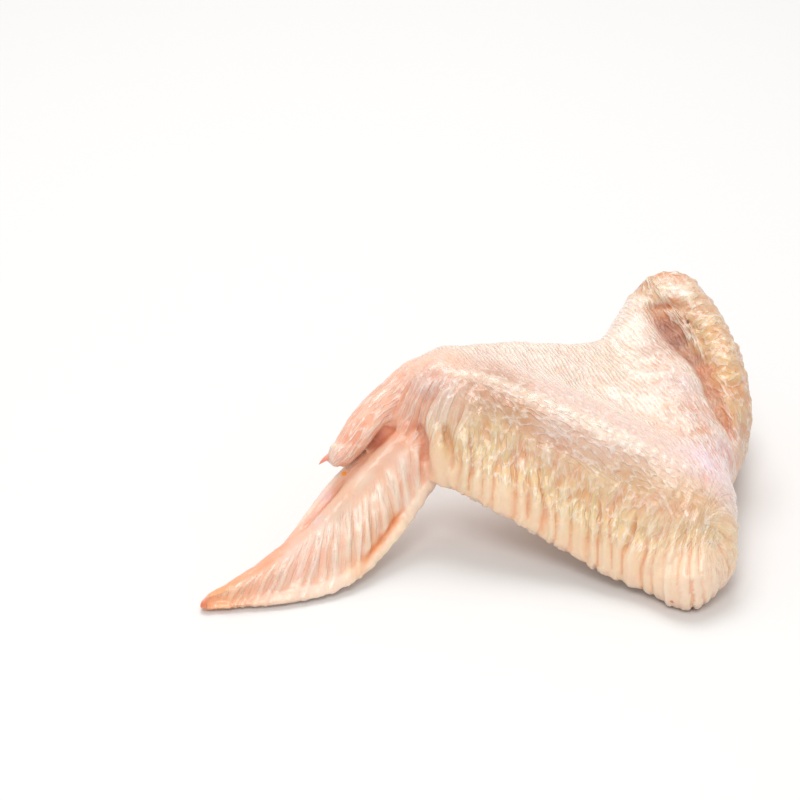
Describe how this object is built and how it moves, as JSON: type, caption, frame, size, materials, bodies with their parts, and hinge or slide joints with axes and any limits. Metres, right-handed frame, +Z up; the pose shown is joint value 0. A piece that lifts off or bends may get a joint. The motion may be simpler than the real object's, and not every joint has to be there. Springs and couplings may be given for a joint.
{
  "type": "raw chicken wing",
  "caption": "Whole raw chicken wing: meaty drumette, flat with a pleated trailing edge, and a pointed tip with its thumb, arched on its skin side.",
  "frame": {"origin": "on the table, below the middle of the wing's box", "axes": "+X from the tip of the wing towards the elbow, +Y towards the cut end of the shoulder, +Z up"},
  "size_m": [0.1424, 0.105, 0.0449],
  "materials": {
    "skin": "moist raw skin"
  },
  "bodies": {
    "root": {"wing": "skin"}
  },
  "joints": []
}
